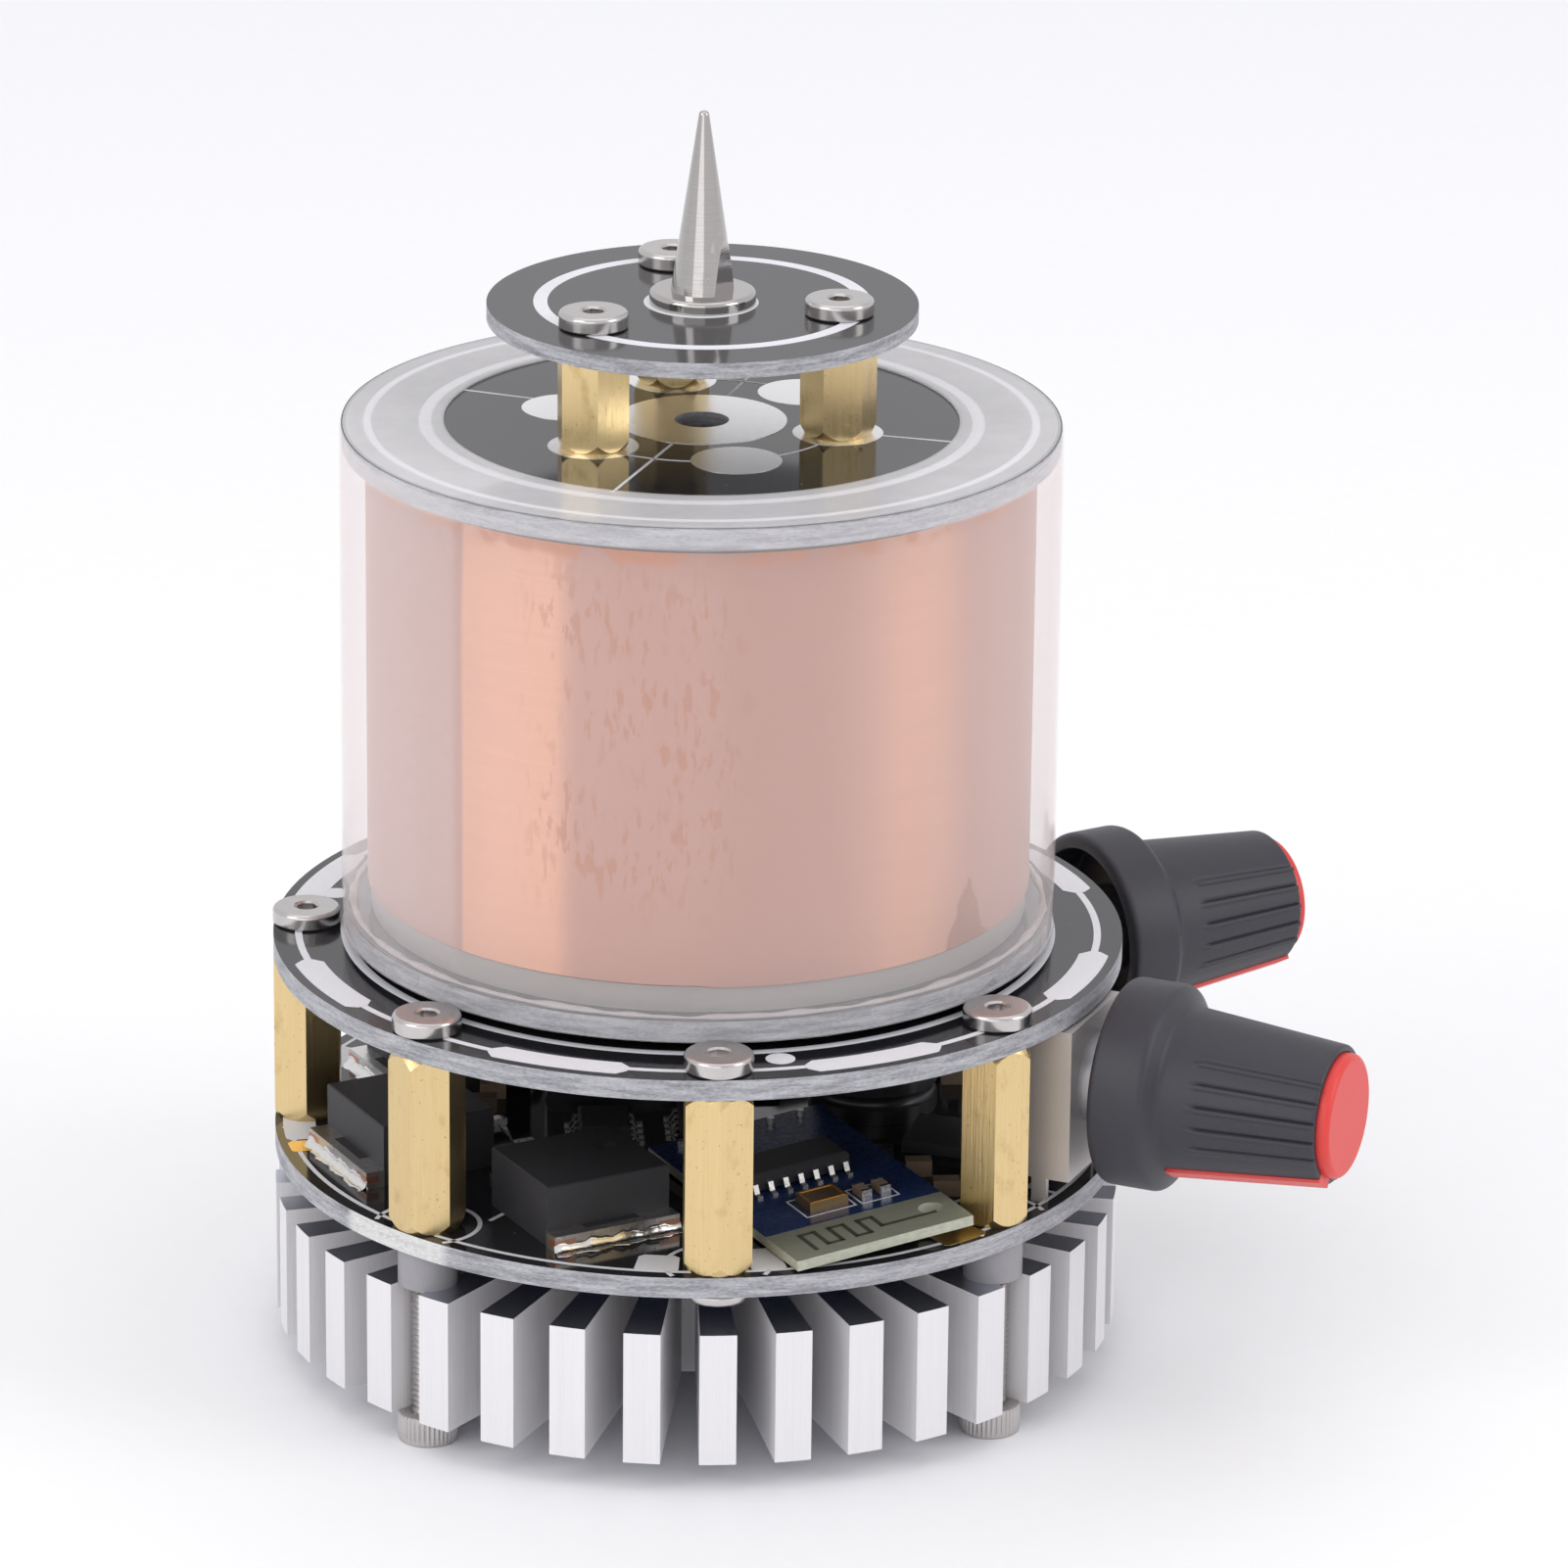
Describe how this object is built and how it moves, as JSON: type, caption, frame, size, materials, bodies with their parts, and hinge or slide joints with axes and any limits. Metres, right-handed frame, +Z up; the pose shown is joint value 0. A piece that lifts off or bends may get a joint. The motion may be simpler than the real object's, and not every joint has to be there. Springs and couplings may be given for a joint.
{
  "type": "desktop resonant transformer",
  "caption": "Small bench resonant transformer: finned heat sink, driver board, brass columns, film-wrapped secondary coil, disc with a discharge spike, and two control knobs.",
  "frame": {"origin": "middle of the circle of the four foot screws, in the plane that their heads stand on", "axes": "+Z up along the coil and the discharge spike, -Y the front, +X the side that the knobs stand out of"},
  "size_m": [0.0819, 0.0655, 0.0973],
  "materials": {
    "sink_aluminium": "bright extruded, cut faces lightly brushed",
    "screw_nickel": "nickel plated steel",
    "spacer_nylon": "natural nylon",
    "pad_silicone": "soft silicone",
    "board_black": "glossy black lacquer with white print",
    "column_brass": "drawn brass, lightly brushed",
    "former_plastic": "grey plastic tube",
    "winding_copper": "enamelled copper wire, close wound",
    "film_clear": "clear heat-shrink film",
    "spike_steel": "polished",
    "package_black": "moulded epoxy",
    "contact_tin": "tinned",
    "radio_navy": "dark blue lacquer",
    "crystal_case": "plated lid",
    "ceramic_tan": "fired ceramic",
    "sleeve_black": "shrunk sleeve",
    "inlet_black": "moulded",
    "pot_metal": "nickel plated sheet and zinc",
    "pot_phenolic": "phenolic sheet",
    "shaft_plastic": "moulded",
    "knob_black": "satin",
    "knob_red": "moulded, satin gloss"
  },
  "bodies": {
    "apparatus": {"heat_sink": "sink_aluminium", "foot_screws": "screw_nickel", "lower_board_screws": "screw_nickel", "upper_board_screws": "screw_nickel", "coil_base_screws": "screw_nickel", "coil_base_washers": "screw_nickel", "coil_base_nuts": "screw_nickel", "post_screws": "screw_nickel", "top_disc_screws": "screw_nickel", "spike_screw": "screw_nickel", "sink_spacers": "spacer_nylon", "thermal_pad": "pad_silicone", "lower_board": "board_black", "upper_board": "board_black", "coil_bottom_board": "board_black", "coil_top_board": "board_black", "top_disc": "board_black", "board_columns": "column_brass", "terminal_posts": "column_brass", "coil_former": "former_plastic", "secondary_winding": "winding_copper", "coil_film": "film_clear", "terminal_spike": "spike_steel", "transistor_bodies": "package_black", "radio_chip": "package_black", "driver_chips": "package_black", "controller_chip": "package_black", "chip_resistors": "package_black", "transistor_tabs": "contact_tin", "transistor_leads": "contact_tin", "radio_pins": "contact_tin", "radio_chip_leads": "contact_tin", "driver_chip_leads": "contact_tin", "capacitor_leads": "contact_tin", "power_inlet_terminals": "contact_tin", "power_inlet_pin": "contact_tin", "front_pot_pins": "contact_tin", "rear_pot_pins": "contact_tin", "radio_board": "radio_navy", "radio_crystal": "crystal_case", "radio_capacitors": "ceramic_tan", "chip_capacitors": "ceramic_tan", "reservoir_capacitor": "sleeve_black", "tank_capacitor": "sleeve_black", "power_inlet": "inlet_black", "front_pot_case": "pot_metal", "rear_pot_case": "pot_metal", "front_pot_bushing": "pot_metal", "rear_pot_bushing": "pot_metal", "front_pot_wafer": "pot_phenolic", "rear_pot_wafer": "pot_phenolic"},
    "front_control": {"front_pot_shaft": "shaft_plastic", "front_knob": "knob_black", "front_knob_insert": "knob_red"},
    "rear_control": {"rear_pot_shaft": "shaft_plastic", "rear_knob": "knob_black", "rear_knob_insert": "knob_red"}
  },
  "joints": [
    {"name": "front_knob_turn", "type": "hinge", "parent": "apparatus", "child": "front_control", "pos_m": [0.03127, -0.01594, 0.0261], "axis": [-0.891, 0.454, 0], "range_deg": [0, 300]},
    {"name": "rear_knob_turn", "type": "hinge", "parent": "apparatus", "child": "rear_control", "pos_m": [0.03127, 0.01594, 0.0261], "axis": [-0.891, -0.454, 0], "range_deg": [0, 300]}
  ]
}
